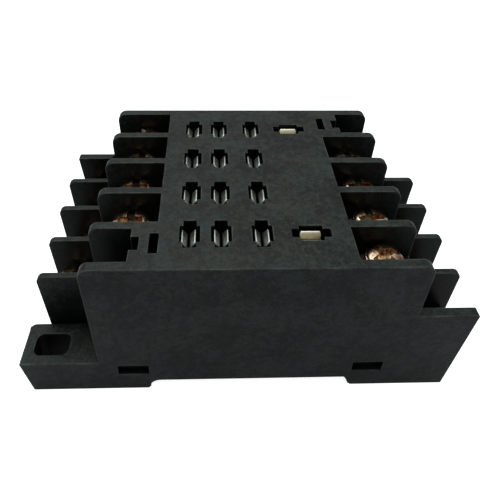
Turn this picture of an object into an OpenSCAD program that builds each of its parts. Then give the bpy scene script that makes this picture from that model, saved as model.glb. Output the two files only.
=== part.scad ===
// Fourteen-terminal relay socket, for a 35 mm rail or for two screws in a panel.
// Units are millimetres.  The origin is the bottom centre, +Z is the face that takes the relay,
// X runs from one terminal end to the other and Y runs across the poles.

/* [Body] */

// Height of the deck above the feet
body_h = 31.3; // [28:0.1:36]
// Width across the poles
body_w = 45; // [42:0.5:50]
// Reach of the upper tier at the deck
upper_x = 27; // [25:0.25:29]
// Reach of the lower tier at its top
lower_x = 37; // [35:0.25:40]
// Height of the lower tier
lower_h = 19.5; // [17:0.5:22]
// Thickness of the outer walls
wall = 1.8; // [1.4:0.1:2.4]
// Thickness of the ribs between the upper terminals
upper_rib_t = 1.6; // [1.2:0.1:2]
// Thickness of the ribs between the lower terminals
lower_rib_t = 1.2; // [1:0.1:1.8]
// Radius of the upper tier's outer corners
upper_corner_r = 1.7; // [0.5:0.1:2.5]
// Radius of the lower ribs' outer corners
lower_corner_r = 1.3; // [0.5:0.1:2]

/* [Relay contacts] */

// Distance between two poles of the relay
pole_pitch = 10; // [9:0.5:11]
// Place of the normally closed contacts
nc_x = -10.45; // [-12:0.05:-9]
// Place of the normally open contacts
no_x = -5.4; // [-7:0.05:-4]
// Place of the common contacts
com_x = 1.2; // [0:0.05:3]
// Place of the coil contacts
coil_x = 9.1; // [8:0.05:10]
// Thickness of the brass strips
strip_t = 1; // [0.8:0.1:1.2]
// Thickness of the contact springs
spring_t = 0.35; // [0.25:0.05:0.5]

/* [Terminals] */

// Thread diameter of the terminal screws
screw_d = 3.5; // [3:0.5:4]
// Head diameter of the terminal screws
head_d = 6.2; // [5.5:0.1:6.6]
// Head height of the terminal screws
head_h = 3.1; // [2:0.1:3.5]
// Length of a screw under its head
screw_l = 6.5; // [6:0.25:8]
// Thickness of the clamp plates
clamp_t = 1.4; // [0.8:0.1:1.6]
// Distance of the upper screws from the middle
upper_screw_x = 20.9; // [20:0.1:22]
// Distance of the lower screws from the middle
lower_screw_x = 32.4; // [31:0.1:33]
// Top of the upper terminal plates
upper_z = 24.1; // [22:0.1:25]
// Top of the lower terminal plates
lower_z = 10.1; // [8:0.1:11]

/* [Mounting] */

// Width of the recess over the rail
rail_gap = 36; // [35.5:0.1:37]
// Depth of the recess over the rail
rail_depth = 2.4; // [2:0.1:3]
// Height of the two mounting ears
ear_h = 7.8; // [6:0.1:9]
// Reach of the ears at their top
ear_x = 40; // [39:0.1:42]
// Length of the slot in an ear
ear_slot_l = 6; // [5:0.1:7]
// Width of the slot in an ear
ear_slot_w = 4.2; // [3.6:0.1:4.6]

/* [Hidden] */

$fn = 48;
eps = 0.01;
gap = 0.15;                                  // play between pieces that are put together
half_w = body_w / 2;
bay_pitch = (body_w - wall) / 5;             // five bays between six walls
bay_w = bay_pitch - wall;                    // room in a bay beside an outer wall
bay_y = [for (i = [-2:2]) i * bay_pitch];    // centres of the five bays, front to back
rib_y = [for (i = [-1.5:1:1.5]) i * bay_pitch];
slot_y = [for (i = [-1.5:1:1.5]) i * pole_pitch];

upper_lean = 0.0235;                         // slope of the upper tier's ends
wall_lean = 0.092;                           // slope of the end walls
rib_lean = 0.047;                            // slope of the ribs' outer edges
rib_reach = lower_x + 0.5;                   // the lower ribs stand a little proud of the side walls
side_corner_r = 0.3;

slab_x = 15.7;                               // half length of the block that holds the contacts
slab_z = upper_z + 0.2;                      // underside of that block
inner_y = half_w - wall;
inner_x = slab_x - 1.5;                      // where the ribs end inside
deck_t = 2.4;
floor_z = lower_z - strip_t - 0.05;          // top of the end walls, just under the lower plates
rib_z = 3.1;                                 // underside of the ribs
foot_z = 0.2;                                // underside of the base plate's feet
foot_top = 3;
foot_r = 0.5;                                // rounding of the walls' feet beside the rail
saddle_top = rail_depth + 1.8;
saddle_x = 20;

chamber = [3.9, 6.4];                        // room round one contact spring
blade_slot = [2.1, 5.9];                     // slots for the relay's blades
spring_slot = [3.25, 3.5];
coil_slot = [1.8, 6.3];
coil_spring_slot = [3.25, 3.8];

ear_lean = 0.154;                            // slope of the ears' outer ends
ear_back = -14.3;                            // edge of an ear on the side of the middle
ear_corner_r = 1;
ear_slot_at = [-35.15, -18.6];
ear_slot_r = 1.3;

pocket_x = 19.8;                             // inner wall of the two empty corner pockets
pocket_floor = 9.6;
clip_at = [-16.05, -16.95];
clip_slot = [1.4, 4.2];
clip_notch = [1.4, 2.75, 6];

seat_z = 20.1;                               // tops of the strips under the springs
seat_mid = seat_z - strip_t / 2;
upper_mid = upper_z - strip_t / 2;
lower_mid = lower_z - strip_t / 2;
com_z = 15;                                  // level at which the common strips pass the coil
tail_w = 2.6;                                // width of a strip away from its terminal
plate_w = bay_w - 0.24;
plate_end = 15.6;
upper_plate_end = 25.2;
lower_plate_end = 35.9;
thread_r = screw_d / 2 + 0.05;
collar_r = thread_r + 0.55;
collar_h = 0.8;
stake_r = 0.7;

prop_x = [2.6, 0.8];                         // a prop's reach inwards and outwards from its screw
prop_y = [collar_r + gap, plate_w / 2];      // and across the bay

window = [5.3, 2.45];                        // openings for the base plate's latches
window_x = 20.6;
window_z = 5.65;

latch_t = 1.3;
barb = 0.9;
hook_y = [-14, 7];                           // the fixed hooks' near edges
hook_l = 7;
hook_x = [-16.6, -16.2];                     // their reach under the rail, below and above
hook_z = [0.6, 1.1];

slider_w = 9.6;
slider_z = [0.3, 2.05];
slider_tab_w = 12;
slider_tab_z = 1.25;
slider_tab_x = 31;
slider_peg = [1.4, 2.4];
peg_x = 28.3;
slider_travel = 3.4;
channel_z = 2.2;
tool_slot = [1.4, 4.4];                      // for a screwdriver's tip, to draw the slider back

leaf_half = 1.45;                            // half of a spring's width at its foot
throat_half = 0.28;                          // at its throat
tip_half = 1.15;                             // and at its tips
leaf_rise = 4;
flare_h = 1;
tip_z = body_h - 0.75;
contact_leaf = [1.6, 0.65, 0];               // half length, and the cuts off its two upper corners
coil_leaf = [1.75, 0.3, 0.3];
nc_leaf_x = nc_x - 0.2;

screw_slot = [1.2, 1.4];                     // width and depth
screw_cross_l = 3.8;
nc_turn = [0, 6, -5, 38];                    // how each screw happens to be turned
no_turn = [-12, 25, 5, -30];
com_turn = [35, 10, 0, 4];
coil_turn = [15, -20];
bite_x = 2.7;                                // grooves under a clamp plate
bite = [0.5, 0.3];

// How far the leaning ends reach at a height
function upper_at(z) = upper_x - upper_lean * (body_h - z);
function wall_at(z) = lower_x - wall_lean * (lower_h - z);

black = [0.12, 0.13, 0.125];
dark = [0.1, 0.1, 0.105];
brass = [0.78, 0.6, 0.3];
silver = [0.75, 0.74, 0.7];
steel = [0.83, 0.72, 0.52];

// Centre of a terminal's screw, at the top of its plate.  Poles count from the front.
function nc_at(i) = [-upper_screw_x, bay_y[i], upper_z];
function no_at(i) = [-lower_screw_x, bay_y[i], lower_z];
function com_at(i) = [upper_screw_x, bay_y[i - 1], upper_z];
function coil_at(i) = [lower_screw_x, bay_y[i], lower_z];

// ---- Sheet metal and outlines ----

function unit(v) = v / norm(v);
function left_of(v) = [-v[1], v[0]];

// Point i of a path, moved sideways by d with a mitre at each bend
function beside(p, i, d) =
    let (a = max(i, 1), b = min(i, len(p) - 2),
         n0 = left_of(unit(p[a] - p[a - 1])),
         n1 = left_of(unit(p[b + 1] - p[b])),
         m = unit(n0 + n1))
    p[i] + m * d / (m * n0);

// A path whose bends are eased over a length l
function eased(p, l, n = 3) = concat(
    [p[0]],
    [for (i = [1:len(p) - 2])
        let (a = p[i] + l * unit(p[i - 1] - p[i]), b = p[i] + l * unit(p[i + 1] - p[i]))
        for (k = [0:n]) let (u = k / n) (1 - u) * (1 - u) * a + 2 * u * (1 - u) * p[i] + u * u * b],
    [p[len(p) - 1]]);

// A bent sheet's section: a band of thickness t along a path
module band(p, t)
    polygon(concat([for (i = [0:len(p) - 1]) beside(p, i, t / 2)],
                   [for (i = [len(p) - 1:-1:0]) beside(p, i, -t / 2)]));

// Stands an outline drawn in X and Z upright between two depths
module upright(y0, y1)
    translate([0, y1, 0]) rotate([90, 0, 0]) linear_extrude(y1 - y0) children();

// A box from its lowest corner to its highest
module box(a, b) translate(a) cube(b - a);

// Both of a piece's twins, half a turn apart
module twice() for (turn = [0, 180]) rotate([0, 0, turn]) children();

// One end of a tier: an outline that leans inwards below and has a round top corner
module tier_end(reach, lean, z0, z1, r) {
    a = atan(lean);
    c = [reach - lean * r - r / cos(a), z1 - r];
    polygon([[0, z0], [reach - lean * (z1 - z0), z0], c + r * [cos(a), -sin(a)], c + [0, r], [0, z1]]);
    translate(c) circle(r);
}

// ---- Housing ----

module side_wall_outline()
    difference() {
        union() {
            tier_end(upper_x, upper_lean, 0, body_h, upper_corner_r);
            mirror([1, 0]) tier_end(upper_x, upper_lean, 0, body_h, upper_corner_r);
            tier_end(lower_x, wall_lean, 0, lower_h, side_corner_r);
        }
        rail_recess_outline();
    }

module rail_recess_outline() {
    half = rail_gap / 2;
    r = 2;
    for (s = [0, 1]) mirror([s, 0])
        difference() {
            translate([half - eps, -1]) square([foot_r + eps, 1 + foot_r]);
            translate([half + foot_r, foot_r]) circle(foot_r);
        }
    polygon([[-half, -1], [-half, rail_depth - r], [-half + r, rail_depth], [half - 1.1, rail_depth],
             [half - 0.7, rail_depth - 0.7], [half, 0], [half, -1]]);
    intersection() {
        translate([-half + r, rail_depth - r]) circle(r);
        translate([-half, rail_depth - r]) square([r, r]);
    }
}

// A rib between two bays, thinner in the lower tier
module rib(y) {
    upright(y - upper_rib_t / 2, y + upper_rib_t / 2) difference() {
        tier_end(upper_x, upper_lean, rib_z, body_h, upper_corner_r);
        translate([-1, 0]) square([inner_x + 1, body_h + 1]);
        square([saddle_x + gap, saddle_top + gap]);
    }
    upright(y - lower_rib_t / 2, y + lower_rib_t / 2) difference() {
        tier_end(rib_reach, rib_lean, rib_z, lower_h, lower_corner_r);
        translate([-1, 0]) square([upper_at(0), body_h]);
    }
}

// The wall between an upper bay and the lower bay in front of it
module step_wall_outline() {
    z0 = lower_z + gap;
    x0 = upper_plate_end + gap;
    polygon([[x0, z0], [upper_at(z0), z0], [upper_at(upper_z), upper_z], [x0, upper_z]]);
}

// The wall under the mouth of the lower bays
module end_wall_outline()
    polygon([[wall_at(0) - wall, 0], [wall_at(0), 0], [wall_at(floor_z), floor_z],
             [wall_at(floor_z) - wall, floor_z]]);

// Floor of a lower bay that has no terminal
module blank_floor(y)
    upright(y - bay_pitch / 2 + wall / 4, y + bay_pitch / 2 - wall / 4)
        polygon([[upper_at(lower_z) - 1.6, floor_z - 0.6], [wall_at(floor_z) - wall / 2, floor_z - 0.6],
                 [wall_at(floor_z) - wall / 2, floor_z], [wall_at(floor_z), floor_z],
                 [wall_at(lower_z), lower_z], [upper_at(lower_z) - 1.6, lower_z + 0.2]]);

module ear() {
    inner = upper_at(0);
    tip = ear_x - ear_lean * ear_h;
    difference() {
        intersection() {
            upright(-half_w, ear_back)
                polygon([[-tip, 0], [-ear_x, ear_h], [-inner + wall, ear_h], [-inner + wall, 0]]);
            linear_extrude(ear_h) {
                r = ear_corner_r;
                depth = ear_back + half_w;
                translate([-ear_x, -half_w]) square([ear_x - inner + wall, depth - r]);
                translate([-ear_x + r, -half_w]) square([ear_x - r - inner + wall, depth]);
                translate([-ear_x + r, ear_back - r]) circle(r);
            }
        }
        translate([0, 0, -1]) linear_extrude(ear_h + 2) ear_slot_outline();
    }
}

module ear_slot_outline()
    translate(ear_slot_at) {
        run = [ear_slot_l, ear_slot_w] / 2 - [ear_slot_r, ear_slot_r];
        square([ear_slot_l, 2 * run[1]], center = true);
        square([2 * run[0], ear_slot_w], center = true);
        for (u = [-1, 1], v = [-1, 1]) translate([u * run[0], v * run[1]]) circle(ear_slot_r);
    }

// Everything at one terminal end, drawn on the right; the left end is the same half a turn on
module terminal_end() {
    for (y = rib_y) rib(y);
    upright(-inner_y, rib_y[3]) step_wall_outline();
    upright(-inner_y, rib_y[3]) end_wall_outline();
    corner_pocket();
}

// The empty corner beside the ear: floor, inner wall and the block for the clip
module corner_pocket() {
    y0 = rib_y[3];
    box([inner_x, y0, slab_z], [pocket_x, inner_y, body_h]);
    box([pocket_x - wall, y0, pocket_floor - wall], [pocket_x, inner_y, slab_z]);
    box([pocket_x - wall, y0, pocket_floor - wall],
        [upper_at(pocket_floor), inner_y, pocket_floor]);
    box([upper_at(0) - wall, y0, rib_z], [upper_at(0), inner_y, pocket_floor]);
}

// A cross-shaped deck slot: a blade's slot and a spring's opening in one
module cross_slot(blade, spring) {
    square(blade, center = true);
    square(spring, center = true);
}

module deck_slots() {
    for (y = slot_y, x = [nc_x, no_x, com_x]) translate([x, y]) cross_slot(blade_slot, spring_slot);
    for (y = [slot_y[0], slot_y[3]]) translate([coil_x, y]) rotate(90)
        cross_slot(coil_slot, coil_spring_slot);
}

module chambers() {
    for (y = slot_y, x = [nc_x, no_x, com_x]) translate([x, y]) square(chamber, center = true);
    for (y = [slot_y[0], slot_y[3]]) translate([coil_x, y]) rotate(90) square(chamber, center = true);
}

// Room in an end wall for a lower terminal's collar and for its screw's tip
module screw_well(at) {
    collar_z = at[2] - strip_t - collar_h - gap;
    tip_z = at[2] + clamp_t - screw_l - 2 * gap;
    translate([at[0], at[1], collar_z]) cylinder(r = collar_r + gap, h = lower_z - collar_z);
    translate([at[0], at[1], tip_z]) cylinder(r = screw_d / 2 + gap, h = lower_z - tip_z);
}

module housing() color(black)
    difference() {
        union() {
            twice() {
                upright(-half_w, -inner_y) side_wall_outline();
                terminal_end();
                ear();
            }
            for (i = [0, 3]) blank_floor(bay_y[i]);
            box([-slab_x, -inner_y, slab_z], [slab_x, inner_y, body_h]);
        }
        translate([0, 0, slab_z - 1]) linear_extrude(body_h - deck_t - slab_z + 1) chambers();
        translate([0, 0, slab_z]) linear_extrude(body_h) deck_slots();
        twice() {
            translate([clip_at[0], clip_at[1], slab_z - 1]) linear_extrude(body_h)
                square(clip_slot, center = true);
            translate([-pocket_x - 1, clip_at[1] - clip_notch[1] / 2, body_h - clip_notch[2]])
                cube(clip_notch + [1, 0, 1]);
            for (x = [-window_x, window_x])
                translate([x - window[0] / 2, -half_w - 1, window_z - window[1] / 2])
                    cube([window[0], wall + 2, window[1]]);
        }
        for (i = [1:4]) screw_well(no_at(i));
        for (i = [1:2]) screw_well(coil_at(i));
        // way out for the rail slider
        box([lower_x - 5, -slider_tab_w / 2 - 0.3, -1], [lower_x, slider_tab_w / 2 + 0.3, 2.4]);
    }

// ---- Base plate ----

module foot_outline() {
    x0 = rail_gap / 2 + 0.2;
    x1 = wall_at(0) - wall - gap;
    y1 = inner_y - gap;
    corner = [upper_at(0) - wall - gap, rib_y[3] + wall / 2 - gap];
    polygon([[x0, -y1], [x1, -y1], [x1, corner[1]], [corner[0], corner[1]], [corner[0], y1], [x0, y1]]);
}

// Props that carry a terminal plate, one on each side of its collar
module props(at, top) {
    inner = at[0] - sign(at[0]) * prop_x[0];
    outer = at[0] + sign(at[0]) * prop_x[1];
    for (s = [-1, 1])
        box([min(inner, outer), at[1] + min(s * prop_y[0], s * prop_y[1]), foot_top - eps],
            [max(inner, outer), at[1] + max(s * prop_y[0], s * prop_y[1]), top]);
}

module latch() {
    half = window[0] / 2 - 0.2;
    rise = window_z + window[1] / 2;
    sill = window_z - window[1] / 2 + gap;
    face = inner_y - gap;
    translate([half, 0, 0]) rotate([0, -90, 0]) linear_extrude(2 * half)
        polygon([[foot_top - eps, -face + latch_t], [rise + 0.4, -face + latch_t], [rise + 0.4, -face + 0.5],
                 [rise - 0.9, -face - 0.1], [sill + 0.3, -face - barb], [sill, -face - barb], [sill, -face],
                 [foot_top - eps, -face]]);
}

module base_plate() color(dark)
    difference() {
        union() {
            translate([0, 0, foot_z]) {
                linear_extrude(foot_top - foot_z) foot_outline();
                linear_extrude(foot_top - foot_z) rotate(180) foot_outline();
            }
            difference() {
                box([-saddle_x, -inner_y + gap, foot_z], [saddle_x, inner_y - gap, saddle_top]);
                box([-rail_gap / 2 - 0.2, -half_w, -1], [rail_gap / 2 + 0.2, half_w, rail_depth]);
            }
            for (x = [-window_x, window_x]) {
                translate([x, 0, 0]) latch();
                rotate([0, 0, 180]) translate([x, 0, 0]) latch();
            }
            for (i = [1:4]) {
                props(nc_at(i), upper_z - strip_t - 0.05);
                props(no_at(i), floor_z);
                props(com_at(i), upper_z - strip_t - 0.05);
            }
            for (i = [1:2]) props(coil_at(i), floor_z);
            // fixed hooks that go under one edge of the rail
            for (y = hook_y)
                upright(y, y + hook_l)
                    polygon([[-rail_gap / 2 - 0.3, foot_z], [hook_x[0], foot_z], [hook_x[1], hook_z[0]],
                             [hook_x[1], hook_z[1]], [-rail_gap / 2 - 0.3, hook_z[1]]]);
        }
        // channel of the rail slider, wider above than at its mouth
        box([rail_gap / 2 - 1, -slider_w / 2 - gap, -1], [lower_x, slider_w / 2 + gap, channel_z]);
        difference() {
            box([rail_gap / 2 + 2, -slider_tab_w / 2 - gap, slider_tab_z - 0.1],
                [lower_x, slider_tab_w / 2 + gap, channel_z]);
            translate([peg_x, 0, 0])
                box([-slider_peg[0] / 2, -slider_peg[1] / 2, 0.6], [slider_peg[0] / 2, slider_peg[1] / 2, 3]);
        }
    }

// ---- Rail slider ----

module rail_slider() color(black) {
    nose = rail_gap / 2 - 1.8;
    neck = rail_gap / 2 + 0.5;
    tail = lower_x - 0.9;
    difference() {
        union() {
            upright(-slider_w / 2, slider_w / 2)
                polygon([[nose + 0.9, slider_z[0]], [tail, slider_z[0]], [tail, slider_z[1]],
                         [neck, slider_z[1]], [neck, hook_z[1]], [nose, hook_z[1]], [nose, 0.9]]);
            box([rail_gap / 2 + 2.4, -slider_tab_w / 2, slider_tab_z],
                [slider_tab_x, slider_tab_w / 2, slider_z[1]]);
        }
        box([peg_x - slider_peg[0] / 2 - slider_travel - 0.2, -slider_peg[1] / 2 - 0.2, 0],
            [peg_x + slider_peg[0] / 2 + 0.1, slider_peg[1] / 2 + 0.2, 3]);
        box([tail - 3, -tool_slot[1] / 2, 0], [tail - 3 + tool_slot[0], tool_slot[1] / 2, 3]);
    }
}

// ---- Brass strips ----

// The tapped plate of a terminal, from its outer end to the start of its tail
module terminal_plate(x0, x1, at) {
    difference() {
        union() {
            box([x0, at[1] - plate_w / 2, at[2] - strip_t], [x1, at[1] + plate_w / 2, at[2]]);
            translate([at[0], at[1], at[2] - strip_t - collar_h])
                cylinder(r = collar_r, h = collar_h + eps);
        }
        translate([at[0], at[1], at[2] - 4]) cylinder(r = thread_r, h = 8);
    }
}

// A bent tail of a strip, seen from the side, at one depth
module tail(y, path) upright(y - tail_w / 2, y + tail_w / 2) band(eased(path, 0.7), strip_t);

// Lower and upper face of a level strip
function level(z) = [z - strip_t / 2, z + strip_t / 2];

// The part of a strip that carries it across from its bay to its pole
module crossing(x, y0, y1, z)
    box([min(x[0], x[1]), min(y0, y1) - tail_w / 2, z[0]], [max(x[0], x[1]), max(y0, y1) + tail_w / 2, z[1]]);

// The stake that holds a spring's foot on a strip
module stake(x, y) translate([x, y, seat_z - eps]) {
    cylinder(r = stake_r, h = spring_t + 2 * eps);
    translate([0, 0, spring_t + 0.02]) cylinder(r = 1.05, h = 0.3);
}

module nc_strip(i) color(brass) {
    web = -13.2;
    terminal_plate(-upper_plate_end, -plate_end, nc_at(i));
    tail(bay_y[i], [[-plate_end - 1, upper_mid], [web, upper_mid], [web, seat_mid - 0.5]]);
    crossing([web - strip_t / 2, web + strip_t / 2], bay_y[i], slot_y[i - 1],
             [seat_mid - strip_t / 2, upper_mid - 1]);
    tail(slot_y[i - 1], [[web, upper_mid - 1], [web, seat_mid], [nc_x + 1.5, seat_mid]]);
    stake(nc_leaf_x, slot_y[i - 1]);
}

module no_strip(i) color(brass) {
    turn = -13;
    riser = no_x - 2.4;
    terminal_plate(-lower_plate_end, -upper_plate_end, no_at(i));
    tail(bay_y[i], [[-upper_plate_end - 1, lower_mid], [-20, lower_mid], [turn + tail_w, lower_mid]]);
    crossing([turn, turn + tail_w], bay_y[i], slot_y[i - 1], level(lower_mid));
    tail(slot_y[i - 1], [[turn, lower_mid], [riser, lower_mid], [riser, seat_mid], [no_x + 1.5, seat_mid]]);
    stake(no_x, slot_y[i - 1]);
}

module com_strip(i) color(brass) {
    web = 14;
    riser = com_x + 2.5;
    terminal_plate(plate_end, upper_plate_end, com_at(i));
    tail(bay_y[i - 1], [[plate_end + 1, upper_mid], [web, upper_mid], [web, com_z], [riser + 0.5, com_z]]);
    crossing([riser + 0.5, riser + 0.5 + tail_w], bay_y[i - 1], slot_y[i - 1], level(com_z));
    tail(slot_y[i - 1], [[riser + 0.5 + tail_w, com_z], [riser, com_z], [riser, seat_mid],
                         [com_x - 1.5, seat_mid]]);
    stake(com_x, slot_y[i - 1]);
}

// A coil contact stands square to the others, and its riser comes down on the side nearer the middle
module coil_strip(i) color(brass) {
    slot = [slot_y[0], slot_y[3]][i - 1];
    riser = coil_x + 2.4;
    riser_y = slot - sign(slot) * 0.6;
    terminal_plate(upper_plate_end, lower_plate_end, coil_at(i));
    tail(bay_y[i], [[riser - 0.5, lower_mid], [20, lower_mid], [upper_plate_end + 1, lower_mid]]);
    crossing([riser - 0.5, riser - 0.5 + tail_w], bay_y[i], riser_y, level(lower_mid));
    tail(riser_y, [[riser + 1, lower_mid], [riser, lower_mid + 0.01], [riser, seat_mid],
                   [coil_x - 1.5, seat_mid]]);
    stake(coil_x, slot);
}

// ---- Contact springs ----

// A forked spring: its foot is staked to a strip and its two leaves grip a blade
module spring_fork(leaf) {
    z0 = seat_z + spring_t / 2;
    side = [[leaf_half, z0], [leaf_half, z0 + leaf_rise], [throat_half, tip_z - flare_h], [tip_half, tip_z]];
    other = [for (k = [3:-1:0]) [-side[k][0], side[k][1]]];
    top = tip_z + spring_t / 3;
    difference() {
        upright(-leaf[0], leaf[0]) band(eased(concat(other, side), 0.4), spring_t);
        translate([0, 0, seat_z - 1]) cylinder(r = stake_r + 0.02, h = 2);
        for (s = [-1, 1]) let (c = s < 0 ? leaf[1] : leaf[2]) if (c > 0)
            rotate([90, 0, 90]) translate([0, 0, -2]) linear_extrude(4)
                polygon([[s * (leaf[0] - c), top], [s * (leaf[0] + 1), top - c - 1],
                         [s * (leaf[0] + 1), top + 1], [s * (leaf[0] - c), top + 1]]);
    }
}

module nc_spring(i) color(silver) translate([nc_leaf_x, slot_y[i - 1], 0]) spring_fork(contact_leaf);
module no_spring(i) color(silver) translate([no_x, slot_y[i - 1], 0]) spring_fork(contact_leaf);
module com_spring(i) color(silver) translate([com_x, slot_y[i - 1], 0]) spring_fork(contact_leaf);
module coil_spring(i) color(silver)
    translate([coil_x, [slot_y[0], slot_y[3]][i - 1], 0]) rotate([0, 0, 90]) spring_fork(coil_leaf);

// ---- Terminal hardware ----

// A captive square clamp plate, ribbed below so that it bites on a wire
module clamp(at) color(steel) translate(at)
    difference() {
        linear_extrude(clamp_t) {
            long = 3.5;
            wide = bay_w / 2 - 0.25;
            cut = 0.8;
            polygon([[long, wide - cut], [long - cut, wide], [cut - long, wide], [-long, wide - cut],
                     [-long, cut - wide], [cut - long, -wide], [long - cut, -wide], [long, cut - wide]]);
        }
        translate([0, 0, -1]) cylinder(r = screw_d / 2 + 0.2, h = 4);
        for (x = [-bite_x, bite_x])
            translate([x - bite[0] / 2, -bay_w, -eps]) cube([bite[0], 2 * bay_w, bite[1]]);
    }

// A screw with a domed head, a straight slot and a short cross to it
module screw(at, turn) color(steel) translate(at + [0, 0, clamp_t]) rotate([0, 0, turn]) {
    flank = head_h - 1.1;
    dome_r = (pow(head_d / 2, 2) + pow(head_h - flank, 2)) / (2 * (head_h - flank));
    difference() {
        intersection() {
            cylinder(d = head_d, h = head_h);
            translate([0, 0, head_h - dome_r]) sphere(dome_r, $fn = 64);
        }
        translate([-screw_slot[0] / 2, -head_d, head_h - screw_slot[1]]) cube([screw_slot[0], 2 * head_d, 2]);
        translate([-screw_cross_l / 2, -screw_slot[0] / 2, head_h - screw_slot[1]])
            cube([screw_cross_l, screw_slot[0], 2]);
    }
    translate([0, 0, -screw_l]) {
        translate([0, 0, 0.6]) cylinder(d = screw_d, h = screw_l - 0.6 + eps);
        cylinder(d1 = screw_d - 1.2, d2 = screw_d, h = 0.6);
    }
}

// ---- Assembly ----

housing();
base_plate();
rail_slider();
for (i = [1:4]) {
    nc_strip(i);
    no_strip(i);
    com_strip(i);
    nc_spring(i);
    no_spring(i);
    com_spring(i);
    clamp(nc_at(i));
    clamp(no_at(i));
    clamp(com_at(i));
    screw(nc_at(i), nc_turn[i - 1]);
    screw(no_at(i), no_turn[i - 1]);
    screw(com_at(i), com_turn[i - 1]);
}
for (i = [1:2]) {
    coil_strip(i);
    coil_spring(i);
    clamp(coil_at(i));
    screw(coil_at(i), coil_turn[i - 1]);
}
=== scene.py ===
"""Looks of a fourteen-terminal relay socket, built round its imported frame.

Lengths are in metres, or in millimetres where it says so.  The frame gives every place.  The
housing, base plate, slider and clamp plates are softened copies of their own solids, the screws
and contact springs are surfaces worked out here, and the brass strips keep their solids.
"""

import contextlib
import math

import bmesh
import bpy
import numpy as np
from mathutils import Matrix, Vector


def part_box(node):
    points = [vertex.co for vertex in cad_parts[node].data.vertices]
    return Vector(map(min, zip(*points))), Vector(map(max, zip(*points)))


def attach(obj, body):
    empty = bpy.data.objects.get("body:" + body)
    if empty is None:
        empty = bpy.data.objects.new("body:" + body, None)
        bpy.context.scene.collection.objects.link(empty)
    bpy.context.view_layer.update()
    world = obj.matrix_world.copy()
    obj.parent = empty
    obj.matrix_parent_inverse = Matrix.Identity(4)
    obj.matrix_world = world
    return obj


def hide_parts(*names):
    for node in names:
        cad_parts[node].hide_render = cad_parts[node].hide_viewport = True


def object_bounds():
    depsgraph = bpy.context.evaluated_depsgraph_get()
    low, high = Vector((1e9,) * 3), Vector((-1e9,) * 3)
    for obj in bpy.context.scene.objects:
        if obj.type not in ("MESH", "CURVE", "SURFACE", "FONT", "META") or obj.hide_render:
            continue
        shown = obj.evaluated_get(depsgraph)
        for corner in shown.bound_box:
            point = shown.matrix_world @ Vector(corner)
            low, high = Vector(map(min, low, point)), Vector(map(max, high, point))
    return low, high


MM = 0.001

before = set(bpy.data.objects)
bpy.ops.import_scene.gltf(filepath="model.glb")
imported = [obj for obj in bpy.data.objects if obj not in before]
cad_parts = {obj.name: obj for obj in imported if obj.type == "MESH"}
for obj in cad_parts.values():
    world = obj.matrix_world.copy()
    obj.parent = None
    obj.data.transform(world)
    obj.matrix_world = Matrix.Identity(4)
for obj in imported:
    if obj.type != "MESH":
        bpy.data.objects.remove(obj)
CAD_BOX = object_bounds()

POLES = range(1, 5)
COILS = range(1, 3)
TERMINALS = [(kind, i) for kind in ("nc", "no", "com") for i in POLES]
TERMINALS += [("coil", i) for i in COILS]

# softened copies of solids
SOLID_MERGE = 0.002 * MM  # points of a solid closer than this are one
SHELL_MERGE = 0.001 * MM  # and of a finished piece
FLAT_ANGLE = math.radians(0.5)  # faces that meet flatter than this are one
HOUSING_EDGE, BASE_EDGE, SLIDER_EDGE, CLAMP_EDGE = 0.13 * MM, 0.1 * MM, 0.1 * MM, 0.28 * MM

# terminal screws, in millimetres from the seat of the head
HEAD_HEIGHT = 3.1
FLANK_HEIGHT = 2.0  # where the dome would start
HEAD_PLAY = 0.01  # how far the head keeps inside its solid
SHOULDER = 0.22  # breadth of the rounding between dome and flank
COLUMN_GAP = 0.04  # from the shoulder to the outermost column
SLOT_WIDTH, SLOT_DEPTH, CROSS_LENGTH = 1.3, 1.4, 4.2
SLOT_LEAN = 0.05  # half the breadth over which the slot's walls fall
SHANK_RADIUS, SCREW_LENGTH = 1.74, 6.49
THREAD_PITCH, THREAD_DEPTH = 0.6, 0.3
THREAD_START, THREAD_STOP = 0.3, 0.7  # from the head, and from the screw's end
THREAD_STEPS = 76
POINT_LENGTH, POINT_INSET = 0.55, 0.62  # the screw's chamfered end
# and how each happens to be turned, in degrees
SCREW_TURN = {
    "nc": (0, 6, -5, 38),
    "no": (-12, 25, 5, -30),
    "com": (35, 10, 0, 4),
    "coil": (15, -20),
}

# contact springs, in millimetres
SHEET = 0.35  # thickness
SHEET_CORNER = 0.08  # rounding of the sheet's edges
FOOT_HALF, THROAT_HALF, MOUTH_HALF = 1.45, 0.28, 1.15  # from the middle to a leaf
UPRIGHT, MOUTH_HEIGHT = 4, 1.0  # heights of a leaf's straight foot and of its flared tip
LEAF_EASE = 0.45  # length over which a bend is eased
CONTACT_LEAF = (1.6, 0.65, 0.0)  # half breadth, and how much of a tip each corner loses
COIL_LEAF = (1.75, 0.3, 0.3)


# ---- Shader maths ----


class Signal:
    """A socket of a node tree, on which operators add Math nodes."""

    def __init__(self, graph, socket):
        self.graph = graph
        self.socket = socket

    def _math(self, operation, *values):
        return self.graph.node("ShaderNodeMath", {"operation": operation}, dict(enumerate(values)))

    def __add__(self, other):
        return self._math("ADD", self, other)

    __radd__ = __add__

    def __sub__(self, other):
        return self._math("SUBTRACT", self, other)

    def __rsub__(self, other):
        return self._math("SUBTRACT", other, self)

    def __mul__(self, other):
        return self._math("MULTIPLY", self, other)

    __rmul__ = __mul__

    def between(self, low, high):
        """0 below low, 1 above high, and a smooth rise from one to the other."""
        return self.graph.node(
            "ShaderNodeMapRange",
            {"interpolation_type": "SMOOTHSTEP"},
            {"Value": self, "From Min": low, "From Max": high},
        )


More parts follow.
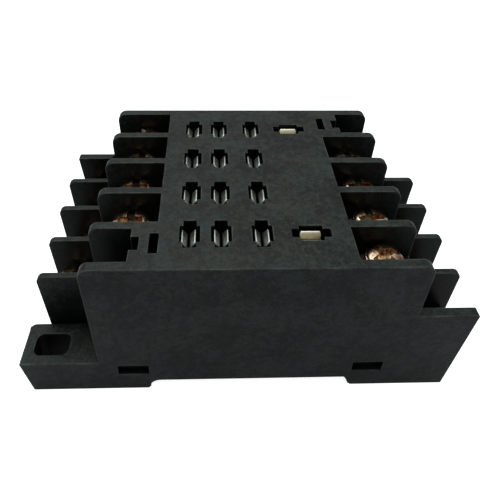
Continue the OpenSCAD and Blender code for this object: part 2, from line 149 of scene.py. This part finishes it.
class Graph:
    """The node tree of a material or a sky."""

    def __init__(self, owner):
        owner.use_nodes = True
        self.tree = owner.node_tree
        self.tree.nodes.clear()

    def node(self, kind, settings=None, values=None, output=0):
        """Adds one node: its settings first, then the values or links of its sockets."""
        node = self.tree.nodes.new(kind)
        for key, value in (settings or {}).items():
            if key == "stops":
                ramp = node.color_ramp.elements
                while len(ramp) < len(value):
                    ramp.new(0.5)
                for stop, (place, colour) in zip(ramp, value):
                    stop.position = place
                    stop.color = (*colour, 1)
            else:
                setattr(node, key, value)
        for key, value in (values or {}).items():
            if isinstance(value, Signal):
                self.tree.links.new(value.socket, node.inputs[key])
            elif isinstance(value, tuple) and node.inputs[key].type == "RGBA":
                node.inputs[key].default_value = (*value, 1)
            else:
                node.inputs[key].default_value = value
        return Signal(self, node.outputs[output])

    def mix(self, share, first, second):
        """Blends two colours."""
        return self.node(
            "ShaderNodeMix", {"data_type": "RGBA"}, {0: share, 6: first, 7: second}, output=2
        )

    def finish_with(self, shader, kind="Material"):
        """Adds the output node, fed by a shader."""
        output = self.tree.nodes.new(f"ShaderNodeOutput{kind}")
        self.tree.links.new(shader.socket, output.inputs["Surface"])


class Finish(Graph):
    """A material, with what its recipes share."""

    def __init__(self, name):
        self.material = bpy.data.materials.new(name)
        super().__init__(self.material)

    def place(self):
        """Object coordinates, in metres in the frame."""
        return self.node("ShaderNodeTexCoord", output="Object")

    def noise(self, size, detail=3.0, roughness=0.5):
        """Noise whose features are about size across."""
        values = {"Vector": self.place(), "Scale": 1 / size, "Detail": detail}
        return self.node("ShaderNodeTexNoise", None, {**values, "Roughness": roughness})

    def occlusion(self, reach, inside):
        """How free of the piece itself its surroundings are within reach: 1 where quite free."""
        settings = {"samples": 8, "inside": inside, "only_local": True}
        return self.node("ShaderNodeAmbientOcclusion", settings, {"Distance": reach}, "AO")

    def corners(self, reach, low=0.08, high=0.4):
        """1 at outer edges, 0 on open faces, from how soon lines cast into the solid come out."""
        return (1 - self.occlusion(reach, inside=True)).between(low, high)

    def openness(self, reach, shut, open_air):
        """0 in recesses and 1 on open faces, from how much of the piece stands within reach."""
        return self.occlusion(reach, inside=False).between(shut, open_air)

    def bump(self, height, depth, strength):
        """A normal from a height, in shares of a depth."""
        values = {"Height": height, "Distance": depth, "Strength": strength}
        return self.node("ShaderNodeBump", None, values)

    def surface(self, **values):
        """The principled shader and the output."""
        shader = self.node(
            "ShaderNodeBsdfPrincipled", None, {k.replace("_", " "): v for k, v in values.items()}
        )
        self.finish_with(shader)
        return self.material


# ---- Finishes ----


def scaled(colour, factors):
    """A colour with each channel multiplied, to 1 at most."""
    return tuple(min(1, c * k) for c, k in zip(colour, factors))


def moulded_plastic(name, colour, lighter, rough, gloss):
    """Satin phenolic: a cloudy mottle, fine grain, pale specks, and smoother edges that are paler,
    partly from wear and partly as a painted highlight; recesses get a near-black painted shade."""
    f = Finish(name)
    dust = (0.09, 0.095, 0.086)
    cool = scaled(lighter, (0.84, 0.98, 1.06))
    warm = scaled(lighter, (1.06, 1.0, 0.92))
    # edge colour, four times the lighter tone: partly wear and partly a painted highlight
    wear_and_highlight = scaled(lighter, (4, 4, 4))
    # recess colour: painted shade, the body colour darkened to near black
    painted_recess_shade = scaled(colour, (0.15, 0.15, 0.15))
    clouds = f.noise(6 * MM)
    mottle = f.noise(1.3 * MM, 3, 0.6)
    grain = f.noise(0.42 * MM, 3, 0.7)
    specks = f.noise(0.8 * MM, 3, 0.7).between(0.6, 0.78)
    wear = f.noise(2.5 * MM, 4, 0.65).between(0.4, 0.66)
    warmth = f.noise(3 * MM, 2).between(0.35, 0.65)
    edge = f.corners(0.32 * MM)
    tone = (clouds * 0.3 + mottle * 0.3 + grain * 0.4).between(0.42, 0.6)
    body = f.mix(tone, colour, f.mix(warmth, warm, cool))
    # edges lightened, more where the wear noise is high: partly wear and partly a painted highlight
    worn_and_highlit = f.mix(edge * (0.25 + 0.7 * wear), body, wear_and_highlight)
    dusty = f.mix(specks * 0.12, worn_and_highlit, dust)
    return f.surface(
        # painted shade: where the piece closes round a point, its recesses take the near-black
        # colour
        Base_Color=f.mix(f.openness(12 * MM, 0.3, 1.0), painted_recess_shade, dusty),
        Roughness=rough + tone * 0.12 + grain * 0.1 - edge * 0.1,
        Normal=f.bump(grain * 0.6 + mottle, 0.03 * MM, 0.9),
        Specular_IOR_Level=gloss,
    )


def strip_brass():
    """Rolled brass: fine streaks and dull patches of tarnish."""
    f = Finish("rolled_brass")
    clean, tarnished = (0.62, 0.42, 0.19), (0.3, 0.19, 0.09)
    tarnish = f.noise(2.2 * MM, 5, 0.6).between(0.42, 0.72)
    streak = f.noise(0.35 * MM, 2)
    return f.surface(
        Base_Color=f.mix(tarnish, clean, tarnished),
        Metallic=1.0,
        Roughness=0.3 + tarnish * 0.2 + streak * 0.1,
        Normal=f.bump(streak, 0.01 * MM, 0.5),
    )


def tinned_spring(name, bright, dull, rough):
    """Dipped tin: dull clouds; edges and tips partly bare metal, partly a painted highlight."""
    f = Finish(name)
    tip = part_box("nc_spring_1")[1].z
    # bright colour of edges and tips: partly wear and partly a painted highlight
    wear_and_highlight = tuple(0.25 + 0.75 * c for c in bright)
    cloud = f.noise(0.9 * MM).between(0.35, 0.75)
    fine = f.noise(0.15 * MM, 2)
    height = f.node("ShaderNodeSeparateXYZ", None, {0: f.place()}, "Z")
    # the top of each tip: a painted highlight, partly bare sheared metal
    sheared_tip_and_highlight = height.between(tip - 0.35 * MM, tip - 0.2 * MM)
    edge = sheared_tip_and_highlight + (1 - sheared_tip_and_highlight) * f.corners(0.12 * MM) * 0.7
    return f.surface(
        Base_Color=f.mix(edge, f.mix(cloud, bright, dull), wear_and_highlight),
        Metallic=1.0,
        Roughness=rough + cloud * 0.15 - edge * 0.1,
        Normal=f.bump(fine, 0.006 * MM, 0.4),
    )


def plated_steel(name, bright, warm, rough):
    """Yellow passivated plate: pale gold with coppery patches, brighter on its edges."""
    f = Finish(name)
    edge = f.corners(0.25 * MM)
    cloud = f.noise(1.3 * MM, 3, 0.55).between(0.36, 0.6) * (1 - edge)
    fine = f.noise(0.2 * MM, 2)
    return f.surface(
        Base_Color=f.mix(cloud, bright, warm),
        Metallic=1.0,
        Roughness=rough + fine * 0.12,
        Normal=f.bump(fine, 0.008 * MM, 0.5),
    )


HOUSING = moulded_plastic(
    "housing_phenolic", (0.0068, 0.0085, 0.0078), (0.027, 0.0305, 0.0284), rough=0.3, gloss=0.12
)
# base plate: black phenolic, darkened below the housing as painted shade so its latch barbs read
# black in the windows
BASE_WITH_PAINTED_SHADE = moulded_plastic(
    "base_plate_phenolic_painted_shade", (0.0012, 0.0013, 0.0014), (0.0045, 0.0047, 0.005), rough=0.42, gloss=0.05
)
SLIDER = moulded_plastic(
    "slider_nylon", (0.007, 0.0075, 0.0075), (0.016, 0.017, 0.017), rough=0.3, gloss=0.16
)
BRASS = strip_brass()
CONTACT = tinned_spring("contact_spring_tin", (0.27, 0.29, 0.265), (0.13, 0.145, 0.132), rough=0.38)
COIL = tinned_spring("coil_spring_tin", (0.47, 0.405, 0.28), (0.38, 0.315, 0.2), rough=0.42)
# clamp plates: the screws' plating, darkened as painted shade for their place down in the bays
CLAMP_WITH_PAINTED_SHADE = plated_steel("clamp_plate", (0.34, 0.28, 0.19), (0.2, 0.13, 0.08), rough=0.3)
SCREW = plated_steel("screw_plate", (0.68, 0.56, 0.41), (0.3, 0.14, 0.08), rough=0.15)


# ---- Meshes ----


def own(obj, material, slot, body, *nodes):
    """Finishes a new piece: its material, the body it rides on and the nodes it replaces; the
    slot is not used."""
    obj.data.materials.clear()
    obj.data.materials.append(material)
    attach(obj, body)
    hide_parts(*nodes)


def linked(name, data):
    """A new object in the scene."""
    obj = bpy.data.objects.new(name, data)
    bpy.context.scene.collection.objects.link(obj)
    return obj


def smooth(mesh):
    mesh.polygons.foreach_set("use_smooth", np.ones(len(mesh.polygons), dtype=bool))


@contextlib.contextmanager
def editing(mesh):
    """The mesh as a bmesh, written back afterwards."""
    bm = bmesh.new()
    bm.from_mesh(mesh)
    yield bm
    bm.to_mesh(mesh)
    bm.free()


def clip_to_solid(mesh, node):
    """Keeps a mesh inside the box of a node's solid."""
    points = np.empty(len(mesh.vertices) * 3)
    mesh.vertices.foreach_get("co", points)
    points = np.clip(points.reshape(-1, 3), *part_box(node))
    mesh.vertices.foreach_set("co", points.ravel())


def softened(node, name, width, angle=35, segments=2):
    """A copy of a node's solid, merged to whole faces, with its sharp edges bevelled, and kept
    inside the solid's own box."""
    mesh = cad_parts[node].data.copy()
    mesh.name = name
    with editing(mesh) as bm:
        bmesh.ops.remove_doubles(bm, verts=bm.verts, dist=SOLID_MERGE)
        bmesh.ops.dissolve_limit(
            bm, angle_limit=FLAT_ANGLE, verts=bm.verts, edges=bm.edges, delimit={"NORMAL"}
        )
    smooth(mesh)
    obj = linked(name, mesh)
    bevel = obj.modifiers.new("soft_edges", "BEVEL")
    bevel.width = width
    bevel.segments = segments
    bevel.limit_method = "ANGLE"
    bevel.angle_limit = math.radians(angle)
    bevel.miter_outer = "MITER_ARC"
    bevel.use_clamp_overlap = False
    depsgraph = bpy.context.evaluated_depsgraph_get()
    made = bpy.data.meshes.new_from_object(obj.evaluated_get(depsgraph), depsgraph=depsgraph)
    obj.modifiers.clear()
    clip_to_solid(made, node)
    with editing(made) as bm:
        bmesh.ops.remove_doubles(bm, verts=bm.verts, dist=SHELL_MERGE)
        bmesh.ops.dissolve_degenerate(bm, edges=bm.edges, dist=SHELL_MERGE)
        bmesh.ops.triangulate(bm, faces=bm.faces)
        bmesh.ops.dissolve_degenerate(bm, edges=bm.edges, dist=SHELL_MERGE)
        bmesh.ops.delete(bm, geom=[e for e in bm.edges if e.is_wire], context="EDGES")
    obj.data = made
    flat = obj.modifiers.new("flat_faces", "WEIGHTED_NORMAL")
    flat.mode = "FACE_AREA"
    flat.weight = 100
    return obj


def quads(rows, columns, closed=True):
    """Faces of a grid of rows by columns, whose columns meet when it is closed."""
    row = np.arange(rows - 1)[:, None] * columns
    column = np.arange(columns if closed else columns - 1)[None, :]
    beside = (column + 1) % columns
    corners = (row + column, row + beside, row + columns + beside, row + columns + column)
    return np.stack(corners, axis=-1).reshape(-1, 4)


def surface_object(name, points, faces, sharp):
    """An object from points in millimetres and faces, with outward normals, and with a crease
    where faces meet at more than sharp degrees."""
    mesh = bpy.data.meshes.new(name)
    mesh.from_pydata((points * MM).tolist(), [], faces)
    with editing(mesh) as bm:
        bmesh.ops.remove_doubles(bm, verts=bm.verts, dist=SHELL_MERGE)
        bmesh.ops.recalc_face_normals(bm, faces=bm.faces)
    smooth(mesh)
    mesh.set_sharp_from_angle(angle=math.radians(sharp))
    return linked(name, mesh)


def housing():
    piece = softened("housing", "housing_shell", HOUSING_EDGE)
    own(piece, HOUSING, "housing", "socket", "housing")


def base_plate():
    piece = softened("base_plate", "base_plate_shell", BASE_EDGE)
    own(piece, BASE_WITH_PAINTED_SHADE, "base_plate", "socket", "base_plate")


def rail_slider():
    piece = softened("rail_slider", "slider_bar", SLIDER_EDGE)
    own(piece, SLIDER, "slider", "slider", "rail_slider")


def clamp(kind, i):
    node = f"{kind}_clamp_{i}"
    piece = softened(node, f"{kind}_clamp_plate_{i}", CLAMP_EDGE, angle=40, segments=3)
    own(piece, CLAMP_WITH_PAINTED_SHADE, "clamp", f"{kind}_{i}_clamp", node)


def finish_strips():
    for kind, i in TERMINALS:
        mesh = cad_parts[f"{kind}_strip_{i}"].data
        mesh.materials.clear()
        mesh.materials.append(BRASS)


def stations(breaks, steps, half_step):
    """Places from the first break to the last, with a pair half a step each side of the inner
    ones."""
    edges = [breaks[0]]
    for b in breaks[1:-1]:
        edges += [b - half_step, b + half_step]
    edges.append(breaks[-1])
    return np.concatenate([np.linspace(a, b, steps) for a, b in zip(edges[::2], edges[1::2])])


def head_top(radius):
    """A screw's head from above: a dome with a straight slot and a short cross to it.

    Over columns x and rows y, height = flank + dome * sqrt(1 - (r / radius)^4), or the slot's
    floor where |x| is under half a slot, or where |y| is and |x| is under half the cross.  Rows
    run from -edge(x) to edge(x), with edge = sqrt(rim^2 - x^2).
    """
    rim = radius - SHOULDER
    half, cross = SLOT_WIDTH / 2, CROSS_LENGTH / 2
    end = rim - COLUMN_GAP
    x = stations([-end, -cross, -half, half, cross, end], 7, SLOT_LEAN)[:, None]
    edge = np.sqrt(rim**2 - x**2)
    inner = np.minimum(half, edge / 2)
    lean = SLOT_LEAN * inner / half
    outer_run = inner + lean + np.linspace(0, 1, 9)[None, :] * (edge - inner - lean)
    inner_run = (inner - lean) * np.linspace(-1, 1, 7)[None, :]
    y = np.concatenate([-outer_run[:, ::-1], inner_run, outer_run], axis=1)
    x = np.broadcast_to(x, y.shape)
    dome = np.sqrt(1 - ((x**2 + y**2) / radius**2) ** 2)
    dome = FLANK_HEIGHT + (HEAD_HEIGHT - FLANK_HEIGHT) * dome
    in_slot = np.abs(x) < half
    in_cross = (np.abs(y) < inner) & (np.abs(x) < cross)
    z = np.where(in_slot | in_cross, HEAD_HEIGHT - SLOT_DEPTH, dome)
    return np.stack([x, y, z], axis=-1)


def screw_side(outline, radius):
    """Loops that carry the outline of a screw's top down to its end.

    Each loop is (cos(angle) * r, sin(angle) * r, level), with r going from the rim to the flank
    and the shank.  On the shank r = root + depth * ridge(z / pitch + angle / full turn), which
    makes the thread: ridge rises and falls once a turn, and is flat at its top and bottom.
    """
    angle = np.arctan2(outline[:, 1], outline[:, 0])
    rim_level = outline[:, 2]
    level = np.ones_like(angle)
    root = SHANK_RADIUS - THREAD_DEPTH
    thread_z = np.linspace(-THREAD_START, THREAD_STOP - SCREW_LENGTH, THREAD_STEPS)
    turns = thread_z[:, None] / THREAD_PITCH + angle[None, :] / (2 * math.pi)
    ridge = np.clip(1.5 * (1 - np.abs(2 * (turns % 1) - 1)) - 0.2, 0, 1)
    shank = SHANK_RADIUS - THREAD_DEPTH * (1 - ridge)
    loops = [
        (radius - 0.07, rim_level - 0.05),
        (radius, rim_level - 0.2),
        (radius, 1.3 * level),
        (radius, 0.15 * level),
        (radius - 0.05, 0.05 * level),
        (radius - 0.15, 0 * level),
        (SHANK_RADIUS + 0.1, 0 * level),
        (root, -0.1 * level),
    ]
    loops += [(r, z * level) for r, z in zip(shank, thread_z)]
    loops.append((root, (POINT_LENGTH - SCREW_LENGTH) * level))
    loops.append((SHANK_RADIUS - POINT_INSET, -SCREW_LENGTH * level))
    return [np.stack([np.cos(angle) * r, np.sin(angle) * r, z], axis=-1) for r, z in loops]


def screw(kind, i):
    """A domed and threaded terminal screw: its top's grid, and loops from its outline down.

    It is turned about its own middle: x cos - y sin, x sin + y cos.
    """
    node = f"{kind}_screw_{i}"
    low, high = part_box(node)
    centre = (low + high) / (2 * MM)
    radius = (high.x - low.x) / (2 * MM) - HEAD_PLAY
    seat = high.z / MM - HEAD_HEIGHT
    top = head_top(radius)
    outline = np.concatenate([top[:, -1], top[-1, -2::-1], top[-2::-1, 0], top[0, 1:-1]])
    loops = [outline] + screw_side(outline, radius)
    points = np.concatenate([top.reshape(-1, 3)] + loops)
    rows, columns = top.shape[:2]
    count = len(outline)
    faces = quads(rows, columns, closed=False).tolist()
    faces += (quads(len(loops), count) + rows * columns).tolist()
    faces.append((np.arange(count) + len(points) - count).tolist())
    x, y, z = points.T
    turn = math.radians(SCREW_TURN[kind][i - 1])
    x, y = x * math.cos(turn) - y * math.sin(turn), x * math.sin(turn) + y * math.cos(turn)
    points = np.stack([x + centre.x, y + centre.y, z + seat], axis=-1)
    piece = surface_object(f"{kind}_screw_threaded_{i}", points, faces, sharp=35)
    own(piece, SCREW, "screw", f"{kind}_{i}_screw", node)


def bent_path(corners):
    """A path through corners, each eased with a parabola, and how far each place is from an end.

    Eased corner = (1-u)^2 before + 2u(1-u) corner + u^2 after.  Places lie closer at the ends,
    where the sheet's nose is rounded.
    """
    corners = np.asarray(corners, float)
    runs = [corners[:1]]
    u = np.linspace(0, 1, 9)[:, None]
    for before, here, after in zip(corners[:-2], corners[1:-1], corners[2:]):
        a = here + LEAF_EASE * (before - here) / np.linalg.norm(before - here)
        b = here + LEAF_EASE * (after - here) / np.linalg.norm(after - here)
        runs.append((1 - u) ** 2 * a + 2 * u * (1 - u) * here + u**2 * b)
    runs.append(corners[-1:])
    path = np.concatenate(runs)
    along = np.concatenate([[0], np.cumsum(np.linalg.norm(np.diff(path, axis=0), axis=1))])
    whole = along[-1]
    nose = np.linspace(0, SHEET / 2, 7) ** 2 / (SHEET / 2)
    finer = np.unique(np.concatenate([along, nose, whole - nose, np.linspace(0, whole, 60)]))
    bent = np.stack([np.interp(finer, along, side) for side in path.T], axis=-1)
    return bent, np.minimum(finer, whole - finer)


def sheet_section():
    """The corners of a sheet's section, as offsets from its two sides: through the sheet and
    along its breadth, and on which side of the breadth each point lies."""
    corner = np.radians([0, 30, 60, 90])
    quarter = np.stack([np.cos(corner), np.sin(corner)], axis=-1) * SHEET_CORNER
    offsets, sides = [], []
    for qx, qy in ((1, 1), (-1, 1), (-1, -1), (1, -1)):
        rounding = quarter if qx * qy > 0 else quarter[::-1]
        inset = (qx * (SHEET / 2 - SHEET_CORNER), -qy * SHEET_CORNER)
        offsets.append(rounding * (qx, qy) + inset)
        sides.append(np.full(len(corner), qy))
    return np.concatenate(offsets), np.concatenate(sides)


def spring(kind, i):
    """A forked contact spring: a rounded sheet's section carried along the path of its leaves.

    Point = path + through * normal, half breadth * side + along the breadth.  At the tips the
    half breadth is cut back at 45 degrees: half breadth - (height - start of the cut), and the
    section closes to a nose: through * sqrt(1 - (1 - 2 * distance to the tip / sheet)^2).
    """
    coil = kind == "coil"
    node = f"{kind}_spring_{i}"
    low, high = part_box(node)
    centre = (low + high) / (2 * MM)
    half_breadth, front_cut, back_cut = COIL_LEAF if coil else CONTACT_LEAF
    foot, top = low.z / MM + SHEET / 2, high.z / MM
    tip = top - SHEET / 3
    right = [
        (FOOT_HALF, foot), (FOOT_HALF, foot + UPRIGHT),
        (THROAT_HALF, tip - MOUTH_HEIGHT), (MOUTH_HALF, tip),
    ]
    path, to_tip = bent_path([(-u, z) for u, z in right[::-1]] + right)
    nose = np.sqrt(np.clip(1 - (1 - 2 * to_tip / SHEET) ** 2, 0.01, 1))
    full = np.where(to_tip < SHEET / 2, nose, 1)[:, None]
    ahead = np.gradient(path, axis=0)
    ahead /= np.linalg.norm(ahead, axis=1)[:, None]
    section, side = sheet_section()
    through = section[None, :, 0] * full
    u = path[:, 0][:, None] - through * ahead[:, 1][:, None]
    z = path[:, 1][:, None] + through * ahead[:, 0][:, None]
    cut = np.where(side < 0, front_cut, back_cut)[None, :]
    breadth = half_breadth - np.maximum(0, z - (top - cut)) * (cut > 0)
    v = side[None, :] * breadth + section[None, :, 1]
    points = np.stack([-v, u, z] if coil else [u, v, z], axis=-1).reshape(-1, 3)
    points += (centre.x, centre.y, 0)
    rows, columns = v.shape
    faces = quads(rows, columns).tolist()
    faces += [list(range(columns)), list(range((rows - 1) * columns, rows * columns))]
    piece = surface_object(f"{kind}_fork_{i}", points, faces, sharp=50)
    finish, slot = (COIL, "coil_spring") if coil else (CONTACT, "contact_spring")
    own(piece, finish, slot, "socket", node)


# ---- Stage ----

FLOOR_SIDE = 4.0  # half the floor's side
FLOOR_DROP = 0.05 * MM  # how far the floor lies under the object
SOFTBOX_PLACE, SOFTBOX_SIZE, SOFTBOX_WATTS = (-0.12, 0.12, 0.62), 0.8, 3.3
SOFTBOX_COLOUR = (0.93, 1, 0.96)
# the sky's colour by the height of a direction, from the horizon to straight up
SKY_STOPS = [
    (0, (0.04, 0.04, 0.04)),
    (0.3, (0.08, 0.08, 0.08)),
    (0.62, (0.5, 0.53, 0.51)),
    (1, (0.92, 1.0, 0.95)),
]
WHITE = (1.0, 1.0, 1.0)
# the camera's heading to the right of +Y, how far it looks down and leans, in degrees
CAMERA_YAW, CAMERA_PITCH, CAMERA_ROLL = 2.389, 34.788, 1.263
CAMERA_PLACE = (-0.007155, -0.074451, 0.090739)
SENSOR, LENS = 36, 37.387  # in millimetres
SHIFT = (0.044, -0.22)  # in shares of the frame


def studio_floor():
    """A wide pale floor a hair under the object, lifted to white where it is seen directly."""
    f = Finish("studio_floor")
    tone = f.mix(f.noise(0.4, 2), (0.6, 0.6, 0.6), (0.63, 0.63, 0.63))
    lift = {"Emission Color": WHITE, "Emission Strength": 0.9}
    seen = f.node("ShaderNodeBsdfPrincipled", None, {"Base Color": tone, "Roughness": 0.9, **lift})
    reflected = f.node("ShaderNodeBsdfDiffuse", None, {"Color": (0.66, 0.61, 0.68)})
    camera_ray = f.node("ShaderNodeLightPath", output="Is Camera Ray")
    f.finish_with(f.node("ShaderNodeMixShader", None, {0: camera_ray, 1: reflected, 2: seen}))
    mesh = bpy.data.meshes.new("floor")
    corners = [(x * FLOOR_SIDE, y * FLOOR_SIDE, 0) for x, y in ((-1, -1), (1, -1), (1, 1), (-1, 1))]
    mesh.from_pydata(corners, [], [(0, 1, 2, 3)])
    mesh.materials.append(f.material)
    floor = linked("floor", mesh)
    floor.location.z = CAD_BOX[0].z - FLOOR_DROP


def overhead_softbox():
    """A square area light that faces the object."""
    light = bpy.data.lights.new("overhead", "AREA")
    light.shape = "SQUARE"
    light.size = SOFTBOX_SIZE
    light.energy = SOFTBOX_WATTS
    light.color = SOFTBOX_COLOUR
    obj = linked("overhead", light)
    obj.location = SOFTBOX_PLACE
    obj.rotation_euler = Vector(SOFTBOX_PLACE).to_track_quat("Z", "Y").to_euler()


def studio_light():
    """A sky that is bright overhead and behind and dark in front, and one large softbox."""
    world = bpy.data.worlds.new("studio")
    sky = Graph(world)
    direction = sky.node("ShaderNodeTexCoord", output="Generated")
    up = sky.node("ShaderNodeSeparateXYZ", None, {0: direction}, "Z")
    behind = sky.node("ShaderNodeSeparateXYZ", None, {0: direction}, "Y")
    dome = sky.node("ShaderNodeValToRGB", {"stops": SKY_STOPS}, {0: up}, "Color")
    lit = sky.mix(behind.between(0.3, 0.9) * 0.8, dome, (0.7, 0.7, 0.7))
    camera_ray = sky.node("ShaderNodeLightPath", output="Is Camera Ray")
    colour = sky.mix(camera_ray, lit, WHITE)
    sky.finish_with(sky.node("ShaderNodeBackground", None, {"Color": colour}), "World")
    bpy.context.scene.world = world
    overhead_softbox()
    bpy.context.scene.view_settings.view_transform = "Standard"


def camera():
    """A close camera in front, a little to the left, looking down on the deck."""
    yaw, pitch, roll = (math.radians(a) for a in (CAMERA_YAW, CAMERA_PITCH, CAMERA_ROLL))
    ahead = Vector(
        (math.sin(yaw) * math.cos(pitch), math.cos(yaw) * math.cos(pitch), -math.sin(pitch))
    )
    level = Vector((math.cos(yaw), -math.sin(yaw), 0))
    up = level.cross(ahead)
    right = level * math.cos(roll) + up * math.sin(roll)
    top = up * math.cos(roll) - level * math.sin(roll)
    data = bpy.data.cameras.new("camera")
    data.sensor_width = SENSOR
    data.lens = LENS
    data.shift_x, data.shift_y = SHIFT
    data.clip_start = 0.005
    data.clip_end = 20
    obj = linked("camera", data)
    turn = Matrix((right, top, -ahead)).transposed().to_4x4()
    obj.matrix_world = Matrix.Translation(CAMERA_PLACE) @ turn
    bpy.context.scene.camera = obj


camera()
studio_light()
studio_floor()
housing()
base_plate()
rail_slider()
finish_strips()
for kind, i in TERMINALS:
    screw(kind, i)
    clamp(kind, i)
    spring(kind, i)
